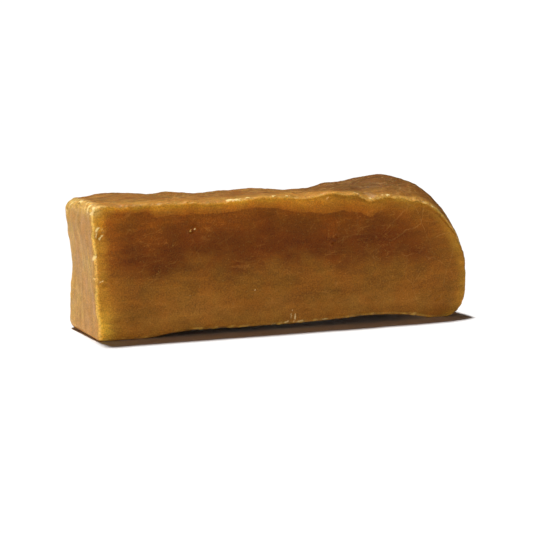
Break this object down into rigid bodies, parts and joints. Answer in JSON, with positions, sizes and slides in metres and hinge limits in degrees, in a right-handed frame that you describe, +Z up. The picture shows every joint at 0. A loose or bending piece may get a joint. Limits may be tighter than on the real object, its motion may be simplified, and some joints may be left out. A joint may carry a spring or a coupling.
{
  "type": "clay bar",
  "caption": "Solid bar of soft, translucent amber detailing clay, cut square at one end and moulded round at the other, kneaded and rubbed over wet car paint to lift dirt.",
  "frame": {"origin": "middle of the bar's bounding box in plan, on the surface that the bar rests on", "axes": "+X along the bar, from its cut end towards its round end; +Y from the long flat cut face towards the back; +Z up"},
  "size_m": [0.117, 0.028, 0.0419],
  "materials": {
    "clay": "translucent amber to brown putty with a dull, waxy skin"
  },
  "bodies": {
    "root": {"clay_bar": "clay"}
  },
  "joints": []
}
